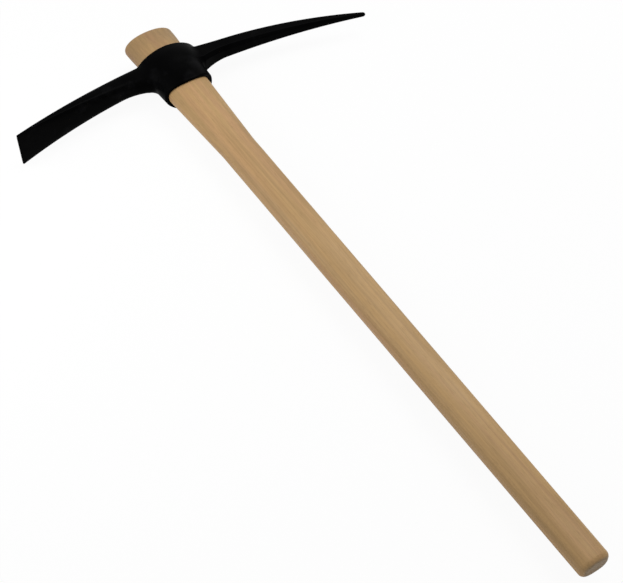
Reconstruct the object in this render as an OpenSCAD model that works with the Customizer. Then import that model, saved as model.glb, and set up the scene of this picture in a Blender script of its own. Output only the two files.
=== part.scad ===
// Pick axe with a slip-fit head: a one-piece forged head with a pick arm and a chisel arm, held by the
// swelled upper end of a one-piece wooden handle. The tool lies flat. The origin is the middle of the
// butt's end face, +Y runs up the handle, +X points along the pick arm and +Z is up, through the cheek.

/* [Grip] */
// Length of the handle from the butt to the crown
handle_length = 900; // [800:5:1000]
// Long side of the grip just below the neck
grip_long = 43; // [38:0.5:46]
// Short side of the grip just below the neck
grip_short = 31.5; // [27:0.5:34]
// Long side of the grip at the butt
butt_long = 35.5; // [32:0.5:44]
// Short side of the grip at the butt
butt_short = 27.5; // [22:0.5:33]
// Edge rounding of the butt
butt_round = 6; // [2:0.5:9]
// Squareness of the grip's section, where 2 is a plain oval
grip_power = 2.6; // [2:0.1:3.4]

/* [Swell] */
// Height of the crown's end above the middle of the eye
crown_rise = 76.25; // [60:0.25:100]
// Long axis of the crown's end
crown_long = 68; // [64:0.5:76]
// Short axis of the crown's end
crown_short = 36; // [32:0.5:50]
// Edge rounding of the crown
crown_round = 4; // [2:0.5:12]
// Long axis of the handle at the middle of the eye
seat_long = 59.5; // [56:0.5:66]
// Short axis of the handle at the middle of the eye
seat_short = 41.5; // [39:0.5:48]
// Growth of the long axis over each 100 mm towards the crown
flare_long = 9.8; // [7:0.2:10]
// Growth of the short axis over each 100 mm towards the crown
flare_short = 6.8; // [5:0.2:7]
// Distance from the middle of the eye down to the neck
neck_drop = 155; // [120:1:200]
// Length over which the neck turns into the grip
neck_blend = 40; // [20:1:80]
// Squareness of the swell's section, where 2 is a plain oval
swell_power = 2.15; // [2:0.05:2.6]

/* [Eye] */
// Gap between the handle and the eye, all round
eye_clearance = 0.3; // [0.2:0.05:0.6]
// Height of the collar above the middle of the eye
collar_rise = 30.5; // [28:0.25:44]
// Depth of the skirt below the middle of the eye, on the sides of the arms
skirt_drop = 32.5; // [30:0.5:48]
// Wall of the eye at its two rims, on the cheeks
rim_wall = 3.75; // [3:0.25:7]
// Wall of the eye at its two rims, towards the arms
shoulder_wall = 5.25; // [4:0.25:8]
// Rounding of the rims' outer edges
rim_round = 2.5; // [1:0.25:2.75]
// How far the skirt's rim dips over the cheeks
skirt_dip = 6.5; // [0:0.25:9]
// Extra wall towards the arms, from the eye's thickest level up to the collar
shoulder_swell = 6; // [1:0.5:10]
// Extra wall on the cheeks at the eye's thickest level
cheek_swell = 2.5; // [2:0.25:8]
// Squareness of the eye's outside from its thickest level up, where 2 is a plain oval
eye_power = 1.85; // [1.7:0.05:2.2]
// Height of the thickest level above the middle of the eye
swell_level = 12.5; // [8:0.5:16]
// Distance from that level over which the wall thins out
swell_reach = 22; // [16:0.5:34]
// How far the eye's outside sits towards the pick arm, off the middle of the hole
eye_offset = 0.75; // [0:0.25:1.5]

/* [Arm roots] */
// Extra depth under an arm where it leaves the eye
root_depth = 7.5; // [3:0.5:12]
// Extra width of an arm where it leaves the eye
root_width = 4.5; // [2:0.5:20]
// Length over which the roots run out, from the outside of the eye
root_run = 36; // [20:1:50]
// Length of the fillets between the arms and the eye
fillet_run = 9; // [5:0.5:14]
// Growth of the fillets sideways, on each side of an arm
side_fillet = 6.5; // [1:0.5:8]
// Growth of the fillet under the chisel arm
chisel_fillet = 4; // [1:0.5:6]
// Growth of the fillets above and under the pick arm
pick_fillet = 2.5; // [1:0.5:6]

/* [Chisel arm] */
// Distance from the middle of the eye to the cutting edge, along the head
chisel_reach = 224; // [180:1:260]
// Radius of the arm's bend
chisel_bend = 835; // [500:5:1500]
// Height of the arm's centre line above the middle of the eye, at the eye
chisel_level = 19.25; // [14:0.25:22]
// Depth of the arm at its root
chisel_depth = 29; // [22:0.5:32]
// Thickness of the cutting edge
edge_thickness = 2.4; // [1:0.1:4]
// Width of the arm at its root
chisel_width = 22.5; // [20:0.5:34]
// Width of the cutting edge
edge_width = 49.5; // [36:0.5:70]
// How soon the arm thins out, where 1 is a straight taper
chisel_thinning = 0.95; // [0.8:0.05:1.8]
// How far the arm's upper side sinks at the eye
chisel_sink = 2.5; // [0:0.25:4]
// How late the arm widens, where 1 is a straight taper
chisel_spread = 1.2; // [1:0.05:2.5]

/* [Pick arm] */
// Distance from the middle of the eye to the point, along the head
pick_reach = 265; // [210:1:310]
// Radius of the arm's bend
pick_bend = 730; // [500:5:1500]
// Height of the arm's centre line above the middle of the eye, at the eye
pick_level = 14.25; // [10:0.25:18]
// Depth of the arm at its root
pick_depth = 22.75; // [19:0.25:28]
// Width of the arm at its root
pick_width = 22.25; // [19:0.25:30]
// Size of the blunt point
point_size = 5.25; // [3:0.25:8]
// Chamfer of the arm's long edges at its root
pick_chamfer = 4.75; // [3:0.25:7]
// Chamfer of the long edges at the point
point_chamfer = 1.4; // [0.8:0.1:1.4]
// How late the arm tapers, where 1 is a straight taper
pick_bow = 1.45; // [1:0.05:1.8]

/* [Hidden] */

// Points round an oval section and along the swept lengths
OVAL_SIDES = 48;
ARM_SIDES = 28;
ARM_STEPS = 20;
FILLET_STEPS = 5;
ROOT_STEPS = 4;
FLAT_STEPS = 3;
ROUND_STEPS = 4;
NECK_STEPS = 6;
CROWN_STEPS = 6;
WALL_STEPS = 12;

// Landmarks along the handle
eye_y = handle_length - crown_rise;
neck_y = eye_y - neck_drop;
grip_y = neck_y - neck_blend;
collar_y = eye_y + collar_rise;

// Largest distance from the middle of the eye to its outside, along the head
shoulder = seat_long / 2 + eye_clearance + shoulder_wall + shoulder_swell;
// Both arms start this far inside the eye's wall, where the eye's own cut trims them
ROOT_BURY = 4;
// The fillets still grow over this depth inside the wall, so that they leave it at a clear angle
FILLET_BURY = 1.5;
// Distance over which an arm's rings turn from wrapping round the eye to flat
WRAP_RUN = 40;
// Largest share of the eye's half width that a ring may wrap round
WRAP_LIMIT = 0.97;
// Squareness of the chisel arm's section at the eye and at the cutting edge, where 2 is a plain oval
ROOT_SQUARENESS = 3;
EDGE_SQUARENESS = 5;
// Overlap of the rims into the hole, and of the hole beyond the rims
RIM_LAP = 2;
EYE_OVERRUN = 5;
// Waste beyond the handle's sawn ends
SAW_WASTE = 2;

function smooth_step(t) = let (c = min(max(t, 0), 1)) c * c * (3 - 2 * c);
function mix(a, b, t) = a + (b - a) * t;

// Section of the handle at height y: [half long axis, half short axis, squareness]
function swell_section(y) = [
    (seat_long + flare_long * (y - eye_y) / 100) / 2,
    (seat_short + flare_short * (y - eye_y) / 100) / 2,
    swell_power];
function grip_section(y) = let (t = y / neck_y) [
    mix(butt_long, grip_long, t) / 2,
    mix(butt_short, grip_short, t) / 2,
    grip_power];
function crown_section() = [crown_long / 2, crown_short / 2, swell_power];
function handle_section(y) = let (
        to_crown = smooth_step((y - collar_y) / (handle_length - collar_y)),
        to_grip = smooth_step((neck_y - y) / neck_blend),
        swell = mix(swell_section(max(y, neck_y)), crown_section(), to_crown))
    mix(swell, grip_section(min(y, neck_y)), to_grip);

// One point of a squared oval in the XZ plane at height y
function oval_point(angle, half_x, half_z, power, y) = [
    half_x * sign(cos(angle)) * pow(abs(cos(angle)), 2 / power),
    y,
    half_z * sign(sin(angle)) * pow(abs(sin(angle)), 2 / power)];
function oval_angles(sides) = [for (i = [0 : sides - 1]) 360 * i / sides];
function oval_ring(section, y) = [for (a = oval_angles(OVAL_SIDES))
    oval_point(a, section[0], section[1], section[2], y)];
function offset_section(section, by) = [section[0] + by, section[1] + by, section[2]];

// Skin over a list of rings with equal counts, closed at both ends by fans round the ring's middle
module loft(rings) {
    count = len(rings[0]);
    last = len(rings) - 1;
    hub = len(rings) * count;
    walls = [for (r = [0 : last - 1], i = [0 : count - 1])
        let (j = (i + 1) % count, low = r * count, high = low + count)
        each [[low + i, low + j, high + j], [low + i, high + j, high + i]]];
    caps = [for (i = [0 : count - 1])
        let (j = (i + 1) % count, high = last * count)
        each [[j, i, hub], [high + i, high + j, hub + 1]]];
    middles = [ring_middle(rings[0]), ring_middle(rings[last])];
    polyhedron(concat([for (ring = rings) each ring], middles), concat(walls, caps), convexity = 6);
}
function ring_middle(ring) = [for (p = ring) 1] * ring / len(ring);

// Handle: rounded butt, tapering grip, neck, swell and flattened crown, sawn square at both ends
module handle() {
    quarter = [for (i = [0 : ROUND_STEPS]) 90 * i / ROUND_STEPS];
    butt = [for (a = quarter)
        let (y = butt_round * (1 - cos(a)))
        oval_ring(offset_section(handle_section(y), butt_round * (sin(a) - 1)), y)];
    neck = [for (i = [0 : NECK_STEPS])
        let (y = mix(grip_y, neck_y, i / NECK_STEPS))
        oval_ring(handle_section(y), y)];
    flare = [for (i = [0 : CROWN_STEPS - 1])
        let (y = mix(collar_y, handle_length - crown_round, i / CROWN_STEPS))
        oval_ring(handle_section(y), y)];
    crown = [for (a = quarter)
        let (y = handle_length - crown_round * (1 - sin(a)))
        oval_ring(offset_section(handle_section(y), crown_round * (cos(a) - 1)), y)];
    butt_waste = oval_ring(offset_section(handle_section(0), -butt_round), -SAW_WASTE);
    crown_end = offset_section(handle_section(handle_length), -crown_round);
    crown_waste = oval_ring(crown_end, handle_length + SAW_WASTE);
    blank = 2 * seat_long;
    color([0.71, 0.58, 0.42]) intersection() {
        loft(concat([butt_waste], butt, neck, flare, crown, [crown_waste]));
        translate([-blank / 2, 0, -blank / 2]) cube([blank, handle_length, blank]);
    }
}

// Tapered oval hole of the eye, a clearance larger than the handle's swell
module eye_hole() {
    ends = [eye_y - skirt_drop - skirt_dip - EYE_OVERRUN, collar_y + EYE_OVERRUN];
    loft([for (y = ends) oval_ring(offset_section(swell_section(y), eye_clearance), y)]);
}

// Outside of the eye: a wall that follows the hole, swelling between the arms, with rounded rims
module eye_boss() {
    low = eye_y - skirt_drop;
    high = collar_y;
    inside = -eye_clearance - shoulder_wall - RIM_LAP;
    quarter = [for (i = [0 : ROUND_STEPS]) 90 * i / ROUND_STEPS];
    stations = concat(
        [[low, inside]],
        [for (a = quarter) [low + rim_round * (1 - cos(a)), rim_round * (sin(a) - 1)]],
        [for (i = [1 : WALL_STEPS - 1]) [mix(low + rim_round, high - rim_round, i / WALL_STEPS), 0]],
        [for (a = quarter) [high - rim_round * (1 - sin(a)), rim_round * (cos(a) - 1)]],
        [[high, inside]]);
    translate([eye_offset, 0, 0]) loft([for (s = stations) eye_ring(s[0], s[1])]);
}
function eye_ring(y, inset) = [for (a = oval_angles(OVAL_SIDES))
    let (
        share = (collar_y - y) / (collar_rise + skirt_drop),
        here = y - skirt_dip * share * pow(sin(a), 2),
        section = offset_section(wall_section(here), inset))
    oval_point(a, section[0], section[1], section[2], here)];
// Section of the eye's outside at height y
function wall_section(y) = let (
        hole = offset_section(swell_section(y), eye_clearance),
        rise = (y - eye_y - swell_level) / swell_reach,
        full = swell_share(min(rise, 0)))
    [hole[0] + shoulder_wall + shoulder_swell * full,
        hole[1] + rim_wall + cheek_swell * swell_share(rise),
        mix(hole[2], eye_power, full)];
function swell_share(t) = let (c = min(abs(t), 1)) pow(1 - c * c, 2);
// Distance from the middle of the eye to its outside, at height y and z to the side
function wall_reach(y, z) = let (
        section = wall_section(y),
        share = min(abs(z) / section[1], WRAP_LIMIT))
    section[0] * pow(1 - pow(share, section[2]), 1 / section[2]);

// Stations along an arm, as distances from the outside of the eye measured along the bend
function arm_stations(length) = concat(
    [-ROOT_BURY, -FILLET_BURY],
    [for (i = [0 : FILLET_STEPS]) fillet_run * i / FILLET_STEPS],
    [for (i = [1 : ROOT_STEPS]) mix(fillet_run, root_run, i / ROOT_STEPS)],
    [for (i = [1 : ARM_STEPS]) mix(root_run, length, i / ARM_STEPS)]);
function arm_length(reach, bend) = bend * asin(reach / bend) * PI / 180 - shoulder;
function arm_share(s, length) = min(max(s / length, 0), 1);
// Shares of the root's flare and of the fillet that are left at station s
function root_flare(s) = pow(min(max(1 - s / root_run, 0), 1), 2);
function fillet_flare(s) = pow(max(1 - max(s, -FILLET_BURY) / fillet_run, 0), 3);

// Bends a section, given as [outward, sideways] offsets, round the arm's centre of bend. Near the eye
// the ring wraps round its outside.
function bent_ring(section, s, bend, level) = [for (p = section)
    let (
        wrapped = wall_reach(eye_y + level + p[0], p[1]),
        along = s + mix(wrapped, shoulder, smooth_step(s / WRAP_RUN)),
        turn = along / bend * 180 / PI)
    [(bend + p[0]) * sin(turn), eye_y + level - bend + (bend + p[0]) * cos(turn), p[1]]];

// Rounded rectangle of the chisel arm, deeper underneath at the root
function chisel_section(s, length) = let (
        v = arm_share(s, length),
        half_depth = mix(edge_thickness, chisel_depth, pow(1 - v, chisel_thinning)) / 2,
        above = half_depth - chisel_sink * root_flare(s),
        under = half_depth + root_depth * root_flare(s) + chisel_fillet * fillet_flare(s),
        spread = mix(chisel_width, edge_width, pow(v, chisel_spread)),
        half_width = (spread + root_width * root_flare(s)) / 2 + side_fillet * fillet_flare(s),
        power = mix(ROOT_SQUARENESS, EDGE_SQUARENESS, v))
    [for (a = oval_angles(ARM_SIDES))
        let (p = oval_point(a, half_width, 1, power, 0))
        [p[2] * (p[2] > 0 ? above : under), p[0]]];

// Chamfered rectangle of the pick arm, deeper underneath at the root
function pick_section(s, length) = let (
        v = arm_share(s, length),
        taper = pow(v, pick_bow),
        above = mix(pick_depth, point_size, taper) / 2 + pick_fillet * fillet_flare(s),
        under = above + root_depth * root_flare(s),
        width = mix(pick_width, point_size, taper),
        half_width = (width + root_width * root_flare(s)) / 2 + side_fillet * fillet_flare(s),
        c = mix(pick_chamfer, point_chamfer, v) + pick_fillet / 2 * fillet_flare(s),
        flat = half_width - c)
    subdivided([[above, flat], [above, -flat], [above - c, -half_width], [c - under, -half_width],
        [-under, -flat], [-under, flat], [c - under, half_width], [above - c, half_width]]);
function subdivided(corners) = [for (i = [0 : len(corners) - 1], k = [0 : FLAT_STEPS - 1])
    mix(corners[i], corners[(i + 1) % len(corners)], k / FLAT_STEPS)];

module chisel_arm() {
    length = arm_length(chisel_reach, chisel_bend);
    translate([eye_offset, 0, 0]) mirror([1, 0, 0]) loft([for (s = arm_stations(length))
        bent_ring(chisel_section(s, length), s, chisel_bend, chisel_level)]);
}

module pick_arm() {
    length = arm_length(pick_reach, pick_bend);
    translate([eye_offset, 0, 0]) loft([for (s = arm_stations(length))
        bent_ring(pick_section(s, length), s, pick_bend, pick_level)]);
}

// Head: eye, chisel arm and pick arm forged in one piece
module pick_head() {
    color([0.07, 0.07, 0.075]) difference() {
        union() {
            eye_boss();
            chisel_arm();
            pick_arm();
        }
        eye_hole();
    }
}

handle();
pick_head();
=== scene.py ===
"""A pick axe lying on a white floor: a black painted forged head on a one-piece wooden handle.

Both pieces are shaped here by the formulas that the solids follow, with finer surfaces. Lengths are in
metres: +Y runs up the handle, +X along the pick arm, and +Z up through the cheek of the head.
"""
import math

import bpy
import numpy as np
from mathutils import Matrix, Vector


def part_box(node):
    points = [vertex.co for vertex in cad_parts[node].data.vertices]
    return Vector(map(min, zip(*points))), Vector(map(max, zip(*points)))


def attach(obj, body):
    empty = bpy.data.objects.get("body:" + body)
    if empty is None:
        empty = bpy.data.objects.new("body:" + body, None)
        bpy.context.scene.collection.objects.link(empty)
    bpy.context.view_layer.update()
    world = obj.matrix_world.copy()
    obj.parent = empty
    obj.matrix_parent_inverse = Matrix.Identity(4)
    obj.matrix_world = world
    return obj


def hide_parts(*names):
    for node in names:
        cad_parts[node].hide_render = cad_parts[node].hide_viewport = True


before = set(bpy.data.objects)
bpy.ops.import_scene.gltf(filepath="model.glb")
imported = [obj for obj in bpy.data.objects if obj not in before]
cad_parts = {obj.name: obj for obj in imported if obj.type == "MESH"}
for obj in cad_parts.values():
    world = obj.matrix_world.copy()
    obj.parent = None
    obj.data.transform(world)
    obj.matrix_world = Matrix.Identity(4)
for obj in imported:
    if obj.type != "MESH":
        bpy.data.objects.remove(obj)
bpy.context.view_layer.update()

# Handle
HANDLE_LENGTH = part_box("handle")[1].y
GRIP_LONG = 0.043
GRIP_SHORT = 0.0315
BUTT_LONG = 0.0355
BUTT_SHORT = 0.0275
BUTT_ROUND = 0.006
GRIP_POWER = 2.6
CROWN_RISE = 0.07625
CROWN_LONG = 0.068
CROWN_SHORT = 0.036
CROWN_ROUND = 0.004
SEAT_LONG = 0.0595
SEAT_SHORT = 0.0415
FLARE_LONG = 0.098
FLARE_SHORT = 0.068
NECK_DROP = 0.155
NECK_BLEND = 0.040
SWELL_POWER = 2.15
EYE_Y = HANDLE_LENGTH - CROWN_RISE
NECK_Y = EYE_Y - NECK_DROP

# Eye of the head, with heights measured from its middle
EYE_CLEARANCE = 0.0003
COLLAR_RISE = 0.0305
SKIRT_DROP = 0.0325
RIM_WALL = 0.00375
SHOULDER_WALL = 0.00525
RIM_ROUND = 0.0025
SKIRT_DIP = 0.0065
SHOULDER_SWELL = 0.006
EYE_POWER = 1.85
CHEEK_SWELL = 0.0025
SWELL_LEVEL = 0.0125
SWELL_REACH = 0.022
EYE_OFFSET = 0.00075
HOLE_ROUND = 0.0008
COLLAR_Y = EYE_Y + COLLAR_RISE
SHOULDER = SEAT_LONG / 2 + EYE_CLEARANCE + SHOULDER_WALL + SHOULDER_SWELL

# Arms of the head
ROOT_DEPTH = 0.0075
ROOT_WIDTH = 0.0045
ROOT_RUN = 0.036
ARM_START = 0.015
CHISEL_REACH = 0.224
CHISEL_BEND = 0.835
CHISEL_LEVEL = 0.01925
CHISEL_DEPTH = 0.029
EDGE_THICKNESS = 0.0024
CHISEL_WIDTH = 0.0225
EDGE_WIDTH = 0.0495
CHISEL_THINNING = 0.95
CHISEL_SINK = 0.0025
CHISEL_SPREAD = 1.2
ROOT_SQUARENESS = 3
EDGE_SQUARENESS = 5
EDGE_ROUND = 0.0006
CHISEL_FILLET = 0.008
PICK_REACH = 0.265
PICK_BEND = 0.730
PICK_LEVEL = 0.01425
PICK_DEPTH = 0.02275
PICK_WIDTH = 0.02225
POINT_SIZE = 0.00525
PICK_CHAMFER = 0.00475
POINT_CHAMFER = 0.0014
PICK_BOW = 1.45
PICK_EDGE_ROUND = 0.0008
POINT_ROUND = 0.004
PICK_FILLET = 0.006
TOP_FILLET = 0.003

# Fineness of the meshes
HANDLE_SIDES = 128
HANDLE_STEP = 0.004
ROUND_RINGS = 10
CAP_RINGS = 8
HEAD_STEP = 0.001
GRID_MARGIN = 5 * HEAD_STEP
FIRST_ROUNDS = 4
LATER_ROUNDS = 2
RELAXATIONS = 3
PROBE = 1e-5
LEAST_STEEPNESS = 0.05
TINY = 1e-9


def mix(a, b, t):
    return a + (b - a) * t


def smooth_step(t):
    t = np.clip(t, 0, 1)
    return t * t * (3 - 2 * t)


def new_object(name, points, faces):
    """A smooth-shaded mesh object from arrays of points and of faces."""
    mesh = bpy.data.meshes.new(name)
    mesh.from_pydata(points.tolist(), [], faces)
    mesh.validate()
    mesh.polygons.foreach_set("use_smooth", [True] * len(mesh.polygons))
    mesh.update()
    piece = bpy.data.objects.new(name, mesh)
    bpy.context.scene.collection.objects.link(piece)
    return piece


# Handle: rings of a squared oval from the butt to the crown

def swell_section(y):
    """Half axes of the swell at height y."""
    rise = y - EYE_Y
    return (SEAT_LONG + FLARE_LONG * rise) / 2, (SEAT_SHORT + FLARE_SHORT * rise) / 2


def handle_section(y):
    """Half axes and squareness of the handle at height y."""
    swell = np.array([*swell_section(max(y, NECK_Y)), SWELL_POWER])
    crown = np.array([CROWN_LONG / 2, CROWN_SHORT / 2, SWELL_POWER])
    swell = mix(swell, crown, smooth_step((y - COLLAR_Y) / (HANDLE_LENGTH - COLLAR_Y)))
    share = min(y, NECK_Y) / NECK_Y
    grip_x = mix(BUTT_LONG, GRIP_LONG, share) / 2
    grip_z = mix(BUTT_SHORT, GRIP_SHORT, share) / 2
    grip = np.array([grip_x, grip_z, GRIP_POWER])
    return mix(swell, grip, smooth_step((NECK_Y - y) / NECK_BLEND))


def handle_ring(y, inset, share=1.0):
    """Ring of points at height y, drawn in by an inset and scaled about the middle by a share."""
    half_x, half_z, power = handle_section(y)
    turn = np.linspace(0, 2 * np.pi, HANDLE_SIDES, endpoint=False)
    c, s = np.cos(turn), np.sin(turn)
    x = share * (half_x - inset) * np.sign(c) * np.abs(c) ** (2 / power)
    z = share * (half_z - inset) * np.sign(s) * np.abs(s) ** (2 / power)
    return np.stack([x, np.full_like(x, y), z], 1)


def make_handle():
    """Handle of rings from the butt to the crown, with rounded edges and closed ends."""
    quarter = np.linspace(0, np.pi / 2, ROUND_RINGS)
    shares = np.arange(1, CAP_RINGS) / CAP_RINGS
    shaft_end = HANDLE_LENGTH - CROWN_ROUND
    shaft = np.arange(BUTT_ROUND + HANDLE_STEP, shaft_end - HANDLE_STEP / 2, HANDLE_STEP)
    rings = [handle_ring(0, BUTT_ROUND, share) for share in shares]
    for turn in quarter:
        y = BUTT_ROUND * (1 - math.cos(turn))
        rings.append(handle_ring(y, BUTT_ROUND * (1 - math.sin(turn))))
    rings += [handle_ring(y, 0) for y in shaft]
    for turn in quarter:
        y = shaft_end + CROWN_ROUND * math.sin(turn)
        rings.append(handle_ring(y, CROWN_ROUND * (1 - math.cos(turn))))
    rings += [handle_ring(HANDLE_LENGTH, CROWN_ROUND, share) for share in shares[::-1]]
    hub = len(rings) * HANDLE_SIDES
    points = np.vstack(rings + [[[0, 0, 0]], [[0, HANDLE_LENGTH, 0]]])
    faces = []
    for i in range(HANDLE_SIDES):
        j = (i + 1) % HANDLE_SIDES
        for low in range(0, hub - HANDLE_SIDES, HANDLE_SIDES):
            high = low + HANDLE_SIDES
            faces.append((low + j, low + i, high + i, high + j))
        faces.append((i, j, hub))
        top = hub - HANDLE_SIDES
        faces.append((top + j, top + i, hub + 1))
    return new_object("wooden_handle", points, faces)


# Head: a field of distances from its surface, negative inside, with fillets where two shapes meet

def smooth_min(a, b, reach):
    """Joins two shapes, with a fillet of about this reach."""
    share = np.clip(0.5 + 0.5 * (b - a) / reach, 0, 1)
    return mix(b, a, share) - reach * share * (1 - share)


def smooth_max(a, b, reach):
    """Keeps what two shapes share, with edges rounded by about this reach."""
    return -smooth_min(-a, -b, reach)


def oval_distance(u, v, half_u, half_v, power):
    """Distance from a squared oval, exact near its outline."""
    share_u, share_v = np.abs(u) / half_u, np.abs(v) / half_v
    share = np.maximum((share_u ** power + share_v ** power) ** (1 / power), TINY)
    slope_u = (share_u / share) ** (power - 1) / half_u
    slope_v = (share_v / share) ** (power - 1) / half_v
    return (share - 1) / np.maximum(np.hypot(slope_u, slope_v), TINY)


def swell_share(t):
    """Share of the eye's extra wall at a distance from its thickest level."""
    return (1 - np.minimum(np.abs(t), 1) ** 2) ** 2


def eye_distance(x, y, z):
    """Outside of the eye: a wall that follows the hole, with a lower rim that dips over the cheeks."""
    half_x, half_z = swell_section(EYE_Y + y)
    rise = (y - SWELL_LEVEL) / SWELL_REACH
    thick = swell_share(np.minimum(rise, 0))
    half_x = half_x + EYE_CLEARANCE + SHOULDER_WALL + SHOULDER_SWELL * thick
    half_z = half_z + EYE_CLEARANCE + RIM_WALL + CHEEK_SWELL * swell_share(rise)
    power = mix(SWELL_POWER, EYE_POWER, thick)
    share_x = (np.abs(x) / half_x) ** power
    share_z = (np.abs(z) / half_z) ** power
    dip = SKIRT_DIP * share_z / np.maximum(share_x + share_z, TINY)
    rims = np.maximum(y - COLLAR_RISE, -SKIRT_DROP - dip - y)
    return smooth_max(oval_distance(x, z, half_x, half_z, power), rims, RIM_ROUND)


def along_bend(x, y, bend, level):
    """Distance along a bent arm from the eye, and outward from the arm's centre line."""
    height = y - level + bend
    return bend * np.arctan2(x, height), np.hypot(x, height) - bend


def arm_shares(along, reach, bend):
    """Distance past the arm's end, share of the way along it, and share of the root's flare."""
    length = bend * math.asin(reach / bend) - SHOULDER
    station = along - SHOULDER
    flare = np.clip(1 - station / ROOT_RUN, 0, 1) ** 2
    return station - length, np.clip(station / length, 0, 1), flare


def chisel_distance(x, y, z):
    """Flat arm that widens and thins to a chisel edge, with its root flared."""
    along, out = along_bend(-x, y, CHISEL_BEND, CHISEL_LEVEL)
    past_end, share, flare = arm_shares(along, CHISEL_REACH, CHISEL_BEND)
    half_depth = mix(EDGE_THICKNESS, CHISEL_DEPTH, (1 - share) ** CHISEL_THINNING) / 2
    half_depth = half_depth + flare * np.where(out > 0, -CHISEL_SINK, ROOT_DEPTH)
    half_width = (mix(CHISEL_WIDTH, EDGE_WIDTH, share ** CHISEL_SPREAD) + ROOT_WIDTH * flare) / 2
    power = mix(ROOT_SQUARENESS, EDGE_SQUARENESS, share)
    section = oval_distance(out, z, half_depth, half_width, power)
    return np.maximum(smooth_max(section, past_end, EDGE_ROUND), ARM_START - along)


def pick_distance(x, y, z):
    """Square arm with cut corners that tapers to a rounded point, with its root flared."""
    along, out = along_bend(x, y, PICK_BEND, PICK_LEVEL)
    past_end, share, flare = arm_shares(along, PICK_REACH, PICK_BEND)
    taper = share ** PICK_BOW
    half_depth = mix(PICK_DEPTH, POINT_SIZE, taper) / 2
    past_depth = np.maximum(out, -out - ROOT_DEPTH * flare) - half_depth
    past_width = np.abs(z) - (mix(PICK_WIDTH, POINT_SIZE, taper) + ROOT_WIDTH * flare) / 2
    chamfer = mix(PICK_CHAMFER, POINT_CHAMFER, share)
    past_chamfer = (past_depth + past_width + chamfer) / math.sqrt(2)
    section = smooth_max(np.maximum(past_depth, past_width), past_chamfer, PICK_EDGE_ROUND)
    return np.maximum(smooth_max(section, past_end, POINT_ROUND), ARM_START - along)


def head_distance(points):
    """Distance of points from the head's surface."""
    x, y, z = points[:, 0], points[:, 1] - EYE_Y, points[:, 2]
    below_collar = smooth_step(1 - y / COLLAR_RISE)
    outside = eye_distance(x - EYE_OFFSET, y, z)
    chisel = chisel_distance(x - EYE_OFFSET, y, z)
    outside = smooth_min(outside, chisel, mix(TOP_FILLET, CHISEL_FILLET, below_collar))
    pick = pick_distance(x - EYE_OFFSET, y, z)
    outside = smooth_min(outside, pick, mix(TOP_FILLET, PICK_FILLET, below_collar))
    half_x, half_z = swell_section(points[:, 1])
    hole = oval_distance(x, z, half_x + EYE_CLEARANCE, half_z + EYE_CLEARANCE, SWELL_POWER)
    return smooth_max(outside, -hole, HOLE_ROUND)


def settle(points, distance, rounds):
    """Moves points along the slope of the distance field onto its surface."""
    for _ in range(rounds):
        rises = [distance(points + step) - distance(points - step) for step in np.eye(3) * PROBE]
        slope = np.stack(rises, 1) / (2 * PROBE)
        steepness = np.maximum((slope ** 2).sum(1, keepdims=True), LEAST_STEEPNESS)
        move = distance(points)[:, None] * slope / steepness
        length = np.linalg.norm(move, axis=1, keepdims=True)
        points = points - move * np.minimum(1, HEAD_STEP / np.maximum(length, TINY))
    return points


def surface_mesh(distance, low, high):
    """Points and quads of the surface where a distance is nought, one point to each cell on it."""
    axes = [np.arange(a, b, HEAD_STEP) for a, b in zip(low, high)]
    inside = np.empty([len(a) for a in axes], bool)
    plane = np.stack(np.meshgrid([0.0], axes[1], axes[2], indexing="ij"), -1).reshape(-1, 3)
    for i, x in enumerate(axes[0]):
        inside[i] = (distance(plane + [x, 0, 0]) < 0).reshape(inside.shape[1:])
    count = sum(inside[a:a - 1 or None, b:b - 1 or None, c:c - 1 or None].astype(np.int8)
                for a in (0, 1) for b in (0, 1) for c in (0, 1))
    cells = (count > 0) & (count < 8)
    number = np.full(cells.shape, -1)
    number[cells] = np.arange(cells.sum())
    points = np.array(low) + (np.argwhere(cells) + 0.5) * HEAD_STEP
    quads = []
    for axis in range(3):
        first = np.take(inside, range(inside.shape[axis] - 1), axis)
        second = np.take(inside, range(1, inside.shape[axis]), axis)
        u, v = np.eye(3, dtype=int)[[(axis + 1) % 3, (axis + 2) % 3]]
        for start, flipped in ((first & ~second, False), (~first & second, True)):
            at = np.argwhere(start)
            quad = np.stack([number[tuple((at - back).T)] for back in (0 * u, u, u + v, v)], 1)
            quads.append(quad[:, ::-1] if flipped else quad)
    return points, np.vstack(quads)


def relaxed(points, quads):
    """Points moved half way to the middle of their neighbours."""
    total, count = np.zeros_like(points), np.zeros(len(points))
    for a, b in ((0, 1), (1, 2), (2, 3), (3, 0)):
        for here, there in ((a, b), (b, a)):
            np.add.at(total, quads[:, here], points[quads[:, there]])
            np.add.at(count, quads[:, here], 1)
    return (points + total / count[:, None]) / 2


def make_head():
    """Head as an even mesh on the surface of its distance field."""
    low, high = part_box("pick_head")
    margin = Vector((1, 1, 1)) * GRID_MARGIN
    points, quads = surface_mesh(head_distance, low - margin, high + margin)
    points = settle(points, head_distance, FIRST_ROUNDS)
    for _ in range(RELAXATIONS):
        points = settle(relaxed(points, quads), head_distance, LATER_ROUNDS)
    return new_object("forged_head", points, quads.tolist())


# Materials

def add_node(tree, kind, inputs=None, **settings):
    """A shader node with its inputs set to values, or linked where a value is another node's socket."""
    node = tree.nodes.new(kind)
    for name, value in settings.items():
        setattr(node, name, value)
    for key, value in (inputs or {}).items():
        if isinstance(value, bpy.types.NodeSocket):
            tree.links.new(value, node.inputs[key])
        else:
            node.inputs[key].default_value = value
    return node


def math_node(tree, operation, *values):
    return add_node(tree, "ShaderNodeMath", dict(enumerate(values)), operation=operation).outputs[0]


def vector_node(tree, operation, *values):
    return add_node(tree, "ShaderNodeVectorMath", dict(enumerate(values)), operation=operation).outputs


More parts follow.
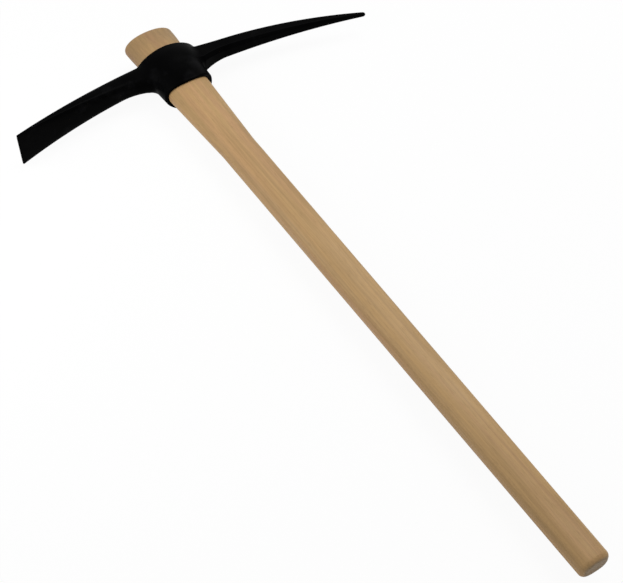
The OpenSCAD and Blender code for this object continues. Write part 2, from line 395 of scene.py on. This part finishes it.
def noise(tree, place, cells, detail=2.0, roughness=0.5):
    """Noise with so many cells to the metre along each axis, so that few cells draw it out."""
    scaled = vector_node(tree, "MULTIPLY", place, cells)[0]
    inputs = {"Vector": scaled, "Scale": 1.0, "Detail": detail, "Roughness": roughness}
    return add_node(tree, "ShaderNodeTexNoise", inputs).outputs["Fac"]


def ramp(tree, value, *stops):
    """Colours or greys by position along a ramp."""
    node = add_node(tree, "ShaderNodeValToRGB", {0: value})
    elements = node.color_ramp.elements
    for i, (position, colour) in enumerate(stops):
        element = elements[i] if i < 2 else elements.new(position)
        element.position = position
        element.color = (*colour, 1) if isinstance(colour, tuple) else (colour, colour, colour, 1)
    return node.outputs[0]


def blend_colours(tree, share, first, second, blend_type="MIX"):
    inputs = {0: share, 6: first, 7: second}
    return add_node(tree, "ShaderNodeMix", inputs, data_type="RGBA", blend_type=blend_type).outputs[2]


def tinted(tree, colour, tint, mask, share):
    """A colour turned towards a tint by a share of a mask."""
    return blend_colours(tree, math_node(tree, "MULTIPLY", mask, share), colour, tint)


def shaded(tree, colour, shade, share):
    """A colour darkened by a share of a grey shade."""
    return blend_colours(tree, share, colour, shade, "MULTIPLY")


def new_material(name):
    """A material with its tree of nodes and its shader."""
    material = bpy.data.materials.new(name)
    material.use_nodes = True
    tree = material.node_tree
    tree.nodes.clear()
    shader = add_node(tree, "ShaderNodeBsdfPrincipled")
    add_node(tree, "ShaderNodeOutputMaterial", {"Surface": shader.outputs[0]})
    return material, tree, shader


def add_bump(tree, shader, height, strength, distance):
    inputs = {"Strength": strength, "Distance": distance, "Height": height}
    bump = add_node(tree, "ShaderNodeBump", inputs)
    tree.links.new(bump.outputs[0], shader.inputs["Normal"])


# Wood: growth rings about a pith outside the handle, colours, and noises in cells to the metre
PITH = (-0.055, 0.0, -0.080)
RING_SPACING = 0.0032
RING_SWAY = 0.016
RING_JITTER = 0.005
GOLDEN_WOOD = (0.455, 0.281, 0.118)
PALE_WOOD = (0.535, 0.340, 0.149)
BLUSHED_WOOD = (0.500, 0.283, 0.140, 1)
LATE_WOOD = (0.30, 0.172, 0.076, 1)
PORE_WOOD = (0.20, 0.115, 0.048, 1)
END_EARLY_WOOD = (0.225, 0.170, 0.102)
END_LATE_WOOD = (0.100, 0.072, 0.042)
SWAY_CELLS = (9, 2.2, 9)
JITTER_CELLS = (130, 1.2, 130)
TONE_CELLS = (14, 3.5, 14)
BLUSH_CELLS = (75, 1.8, 75)
STREAK_CELLS = (260, 5, 260)
FIBRE_CELLS = (1500, 26, 1500)
PORE_CELLS = (1900, 75, 1900)
WEAR_CELLS = (38, 9, 38)
# Painted shade over the crown: how far above the eye it reaches, and how dark it gets there
CROWN_SHADE_REACH = 0.06
CROWN_PAINTED_SHADE = 0.69


def growth_rings(tree, place):
    """Share of late wood in rings about the pith that sway along the handle."""
    from_pith = vector_node(tree, "SUBTRACT", place, PITH)[0]
    across = vector_node(tree, "MULTIPLY", from_pith, (1, 0, 1))[0]
    radius = vector_node(tree, "LENGTH", across)["Value"]
    swayed = math_node(tree, "MULTIPLY_ADD", noise(tree, place, SWAY_CELLS), RING_SWAY, radius)
    jitter = noise(tree, place, JITTER_CELLS, detail=1.0)
    swayed = math_node(tree, "MULTIPLY_ADD", jitter, RING_JITTER, swayed)
    ring = math_node(tree, "FRACT", math_node(tree, "DIVIDE", swayed, RING_SPACING))
    return ramp(tree, ring, (0.0, 0.25), (0.35, 0.0), (0.86, 0.85), (0.94, 1.0), (1.0, 0.25))


def end_grain(tree, colour, late, normal):
    """The colour of the wood, with grey end grain and its rings where the handle was cut across."""
    facing = add_node(tree, "ShaderNodeSeparateXYZ", {0: normal}).outputs["Y"]
    mask = ramp(tree, math_node(tree, "ABSOLUTE", facing), (0.75, 0.0), (0.97, 1.0))
    rings = ramp(tree, late, (0.0, END_EARLY_WOOD), (1.0, END_LATE_WOOD))
    return tinted(tree, colour, rings, mask, 0.65)


def wood_material():
    """Pale straight-grained wood with rings, streaks, fibres and pores, and painted shade that darkens it
    towards the crown.
    """
    material, tree, shader = new_material("oiled_wood")
    coordinates = add_node(tree, "ShaderNodeTexCoord").outputs
    place = coordinates["Object"]
    late = growth_rings(tree, place)
    tone = noise(tree, place, TONE_CELLS)
    blush = ramp(tree, noise(tree, place, BLUSH_CELLS), (0.46, 0.0), (0.66, 1.0))
    streak = noise(tree, place, STREAK_CELLS, detail=4.0, roughness=0.6)
    fibre = noise(tree, place, FIBRE_CELLS, detail=3.0, roughness=0.6)
    pores = ramp(tree, noise(tree, place, PORE_CELLS, detail=1.0), (0.60, 0.0), (0.72, 1.0))
    colour = ramp(tree, tone, (0.30, GOLDEN_WOOD), (0.70, PALE_WOOD))
    colour = tinted(tree, colour, BLUSHED_WOOD, blush, 0.6)
    colour = tinted(tree, colour, LATE_WOOD, late, 0.17)
    colour = shaded(tree, colour, ramp(tree, streak, (0.34, 0.74), (0.60, 1.0)), 0.6)
    colour = shaded(tree, colour, ramp(tree, fibre, (0.30, 0.72), (0.66, 1.0)), 0.35)
    colour = tinted(tree, colour, PORE_WOOD, pores, 0.30)
    colour = end_grain(tree, colour, late, coordinates["Normal"])
    along = add_node(tree, "ShaderNodeSeparateXYZ", {0: place}).outputs["Y"]
    above_eye = math_node(tree, "SUBTRACT", along, EYE_Y)
    # Painted shade: the wood is darkened from the eye up to the crown, in place of the shade that falls
    # there
    colour = shaded(tree, colour, ramp(tree, above_eye, (0.0, 1.0), (CROWN_SHADE_REACH, CROWN_PAINTED_SHADE)), 1.0)
    tree.links.new(colour, shader.inputs["Base Color"])
    worn = noise(tree, place, WEAR_CELLS, detail=3.0)
    tree.links.new(ramp(tree, worn, (0.30, 0.46), (0.70, 0.62)), shader.inputs["Roughness"])
    shader.inputs["Specular IOR Level"].default_value = 0.3
    height = math_node(tree, "MULTIPLY_ADD", late, 0.25, fibre)
    height = math_node(tree, "MULTIPLY_ADD", pores, -0.8, height)
    add_bump(tree, shader, height, strength=0.35, distance=0.00025)
    return material


# Paint: its blacks, and its noises in cells to the metre
DEEP_BLACK = (0.0005, 0.0005, 0.0006)
SOFT_BLACK = (0.0013, 0.0013, 0.0014)
# Paler black of the scuffs, which are partly worn paint and partly painted sheen
SCUFF_AND_SHEEN_BLACK = (0.006, 0.006, 0.0066, 1)
RUBBED_BLACK = (0.012, 0.012, 0.0126, 1)
SMUDGE_CELLS = (28, 28, 28)
SCUFF_AND_SHEEN_CELLS = (30, 30, 30)
FORGING_CELLS = (120, 120, 120)
PEEL_CELLS = (1300, 1300, 1300)


def paint_material():
    """Black paint over a forged surface, with uneven gloss, a fine peel, paler edges, and paler scuffs
    that are partly worn paint and partly painted sheen.
    """
    material, tree, shader = new_material("black_paint")
    place = add_node(tree, "ShaderNodeTexCoord").outputs["Object"]
    smudge = noise(tree, place, SMUDGE_CELLS, detail=3.0, roughness=0.6)
    scuff_and_sheen = noise(tree, place, SCUFF_AND_SHEEN_CELLS, detail=4.0, roughness=0.62)
    forging = noise(tree, place, FORGING_CELLS, detail=4.0, roughness=0.55)
    peel = noise(tree, place, PEEL_CELLS)
    pointiness = add_node(tree, "ShaderNodeNewGeometry").outputs["Pointiness"]
    edges = ramp(tree, pointiness, (0.53, 0.0), (0.60, 1.0))
    rub = math_node(tree, "MULTIPLY", edges, ramp(tree, forging, (0.42, 0.0), (0.62, 1.0)))
    colour = ramp(tree, smudge, (0.30, DEEP_BLACK), (0.75, SOFT_BLACK))
    # Scuffs: partly thinner paint, partly painted sheen that stands in for highlights on the black
    colour = tinted(tree, colour, SCUFF_AND_SHEEN_BLACK, ramp(tree, scuff_and_sheen, (0.56, 0.0), (0.72, 1.0)), 0.6)
    colour = tinted(tree, colour, RUBBED_BLACK, rub, 0.5)
    tree.links.new(colour, shader.inputs["Base Color"])
    gloss = math_node(tree, "MULTIPLY_ADD", forging, 0.5, smudge)
    tree.links.new(ramp(tree, gloss, (0.50, 0.28), (1.0, 0.46)), shader.inputs["Roughness"])
    shader.inputs["Specular IOR Level"].default_value = 0.010
    height = math_node(tree, "MULTIPLY_ADD", peel, 0.08, forging)
    add_bump(tree, shader, height, strength=0.30, distance=0.0006)
    return material


# Floor, surroundings and lamps
SHADOW_SHARE = 0.06
FLOOR_SIZE = 60.0
FLOOR_GAP = 0.0004
FLOOR_COLOUR = (0.9, 0.9, 0.9, 1)
FLOOR_ROUGHNESS = 0.9
WHITE = (1, 1, 1, 1)
WORLD_FILL = 0.40
KEY_LAMP = {"place": (1.05, 1.00, 1.82), "target": (0.0, 0.60, 0.0), "size": 1.2, "power": 24.0}
FILL_LAMP = {"place": (-0.58, 0.86, 0.42), "target": (0.0, 0.72, 0.0), "size": 0.45, "power": 2.4}


def seen_directly(tree):
    """1 for rays from the camera, and for reflections and refractions of the white surroundings."""
    path = add_node(tree, "ShaderNodeLightPath").outputs
    glossy = math_node(tree, "MAXIMUM", path["Is Glossy Ray"], path["Is Transmission Ray"])
    return math_node(tree, "MAXIMUM", path["Is Camera Ray"], glossy)


def make_floor():
    """White floor just under the head, which shows a share of the shadows on it."""
    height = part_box("pick_head")[0].z - FLOOR_GAP
    half = FLOOR_SIZE / 2
    corners = [(-half, -half), (half, -half), (half, half), (-half, half)]
    floor = new_object("floor", np.array([(x, y, height) for x, y in corners]), [(0, 1, 2, 3)])
    material, tree, shader = new_material("white_floor")
    shader.inputs["Base Color"].default_value = FLOOR_COLOUR
    shader.inputs["Roughness"].default_value = FLOOR_ROUGHNESS
    shader.inputs["Specular IOR Level"].default_value = 0.0
    white = add_node(tree, "ShaderNodeEmission", {"Color": WHITE, "Strength": 1.0}).outputs[0]
    share = math_node(tree, "MULTIPLY", seen_directly(tree), 1 - SHADOW_SHARE)
    surface = add_node(tree, "ShaderNodeMixShader", {0: share, 1: shader.outputs[0], 2: white}).outputs[0]
    tree.links.new(surface, tree.nodes["Material Output"].inputs["Surface"])
    floor.data.materials.append(material)


def make_world():
    """White surroundings where they are seen, and an even fill light."""
    world = bpy.data.worlds.new("studio")
    bpy.context.scene.world = world
    world.use_nodes = True
    tree = world.node_tree
    tree.nodes.clear()
    fill = add_node(tree, "ShaderNodeBackground", {"Color": WHITE, "Strength": WORLD_FILL}).outputs[0]
    white = add_node(tree, "ShaderNodeBackground", {"Color": WHITE, "Strength": 1.0}).outputs[0]
    mixed = add_node(tree, "ShaderNodeMixShader", {0: seen_directly(tree), 1: fill, 2: white}).outputs[0]
    add_node(tree, "ShaderNodeOutputWorld", {"Surface": mixed})


def make_lamp(name, place, target, size, power):
    """Square soft lamp at a place, shining at a target."""
    light = bpy.data.lights.new(name, "AREA")
    light.size = size
    light.energy = power
    lamp = bpy.data.objects.new(name, light)
    aim = Vector(place) - Vector(target)
    lamp.matrix_world = Matrix.Translation(place) @ aim.to_track_quat("Z", "Y").to_matrix().to_4x4()
    bpy.context.scene.collection.objects.link(lamp)


# Camera: its angles, and the pixel of the picture at which a point of the handle is seen
PICTURE = (623, 583)
AZIMUTH = math.radians(-32.06)
ELEVATION = math.radians(51.6)
ROLL = math.radians(-0.91)
DISTANCE = 1.6
PIXELS_PER_METRE = 885.7
TARGET_DROP = 0.3738
TARGET = Vector((0, EYE_Y - TARGET_DROP, 0))
TARGET_PIXEL = (338.68, 265.41)
SENSOR_WIDTH = 36.0


def make_camera():
    """Camera at the picture's viewing angle, aimed so that the target falls on its pixel."""
    level = Vector((math.cos(AZIMUTH), math.sin(AZIMUTH), 0))
    towards = Vector((math.sin(AZIMUTH), -math.cos(AZIMUTH), 0))
    back = towards * math.cos(ELEVATION) + Vector((0, 0, math.sin(ELEVATION)))
    rise = back.cross(level)
    right = math.cos(ROLL) * level + math.sin(ROLL) * rise
    up = math.cos(ROLL) * rise - math.sin(ROLL) * level
    across = (TARGET_PIXEL[0] - PICTURE[0] / 2) / PIXELS_PER_METRE
    down = (TARGET_PIXEL[1] - PICTURE[1] / 2) / PIXELS_PER_METRE
    place = TARGET + back * DISTANCE - right * across + up * down
    data = bpy.data.cameras.new("camera")
    data.sensor_width = SENSOR_WIDTH
    data.lens = PIXELS_PER_METRE * DISTANCE / PICTURE[0] * SENSOR_WIDTH
    camera = bpy.data.objects.new("camera", data)
    camera.matrix_world = Matrix.Translation(place) @ Matrix((right, up, back)).transposed().to_4x4()
    bpy.context.scene.collection.objects.link(camera)
    bpy.context.scene.camera = camera


handle = make_handle()
handle.data.materials.append(wood_material())
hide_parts("handle")
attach(handle, "handle")

head = make_head()
head.data.materials.append(paint_material())
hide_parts("pick_head")
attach(head, "head")

make_floor()
make_world()
make_lamp("key", **KEY_LAMP)
make_lamp("fill", **FILL_LAMP)
make_camera()
bpy.context.scene.view_settings.view_transform = "Standard"
